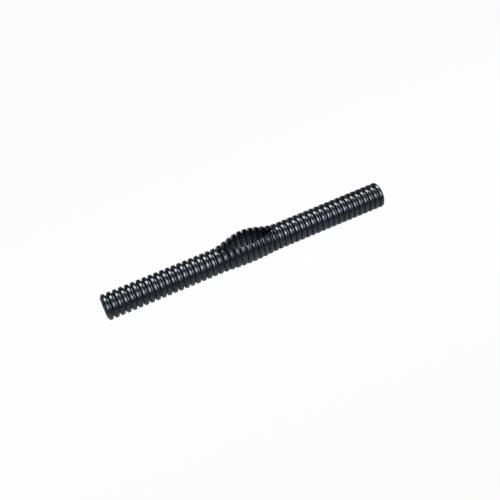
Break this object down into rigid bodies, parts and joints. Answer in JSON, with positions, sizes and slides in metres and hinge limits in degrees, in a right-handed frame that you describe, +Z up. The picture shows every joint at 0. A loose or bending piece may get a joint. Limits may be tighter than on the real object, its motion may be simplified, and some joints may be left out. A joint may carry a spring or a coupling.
{
  "type": "slit corrugated conduit",
  "caption": "Cut length of black slit corrugated plastic conduit (split wire loom), its slit pried open at the middle.",
  "frame": {"origin": "middle of the length, on the plane through the slit, at the height of the surface that the conduit lies on", "axes": "+X along the conduit, +Z up through the slit, +Y across it; the two halves along X are alike"},
  "size_m": [0.15, 0.0168, 0.0147],
  "materials": {
    "black_plastic": "glossy blow-moulded polypropylene"
  },
  "bodies": {
    "root": {"conduit": "black_plastic"}
  },
  "joints": []
}
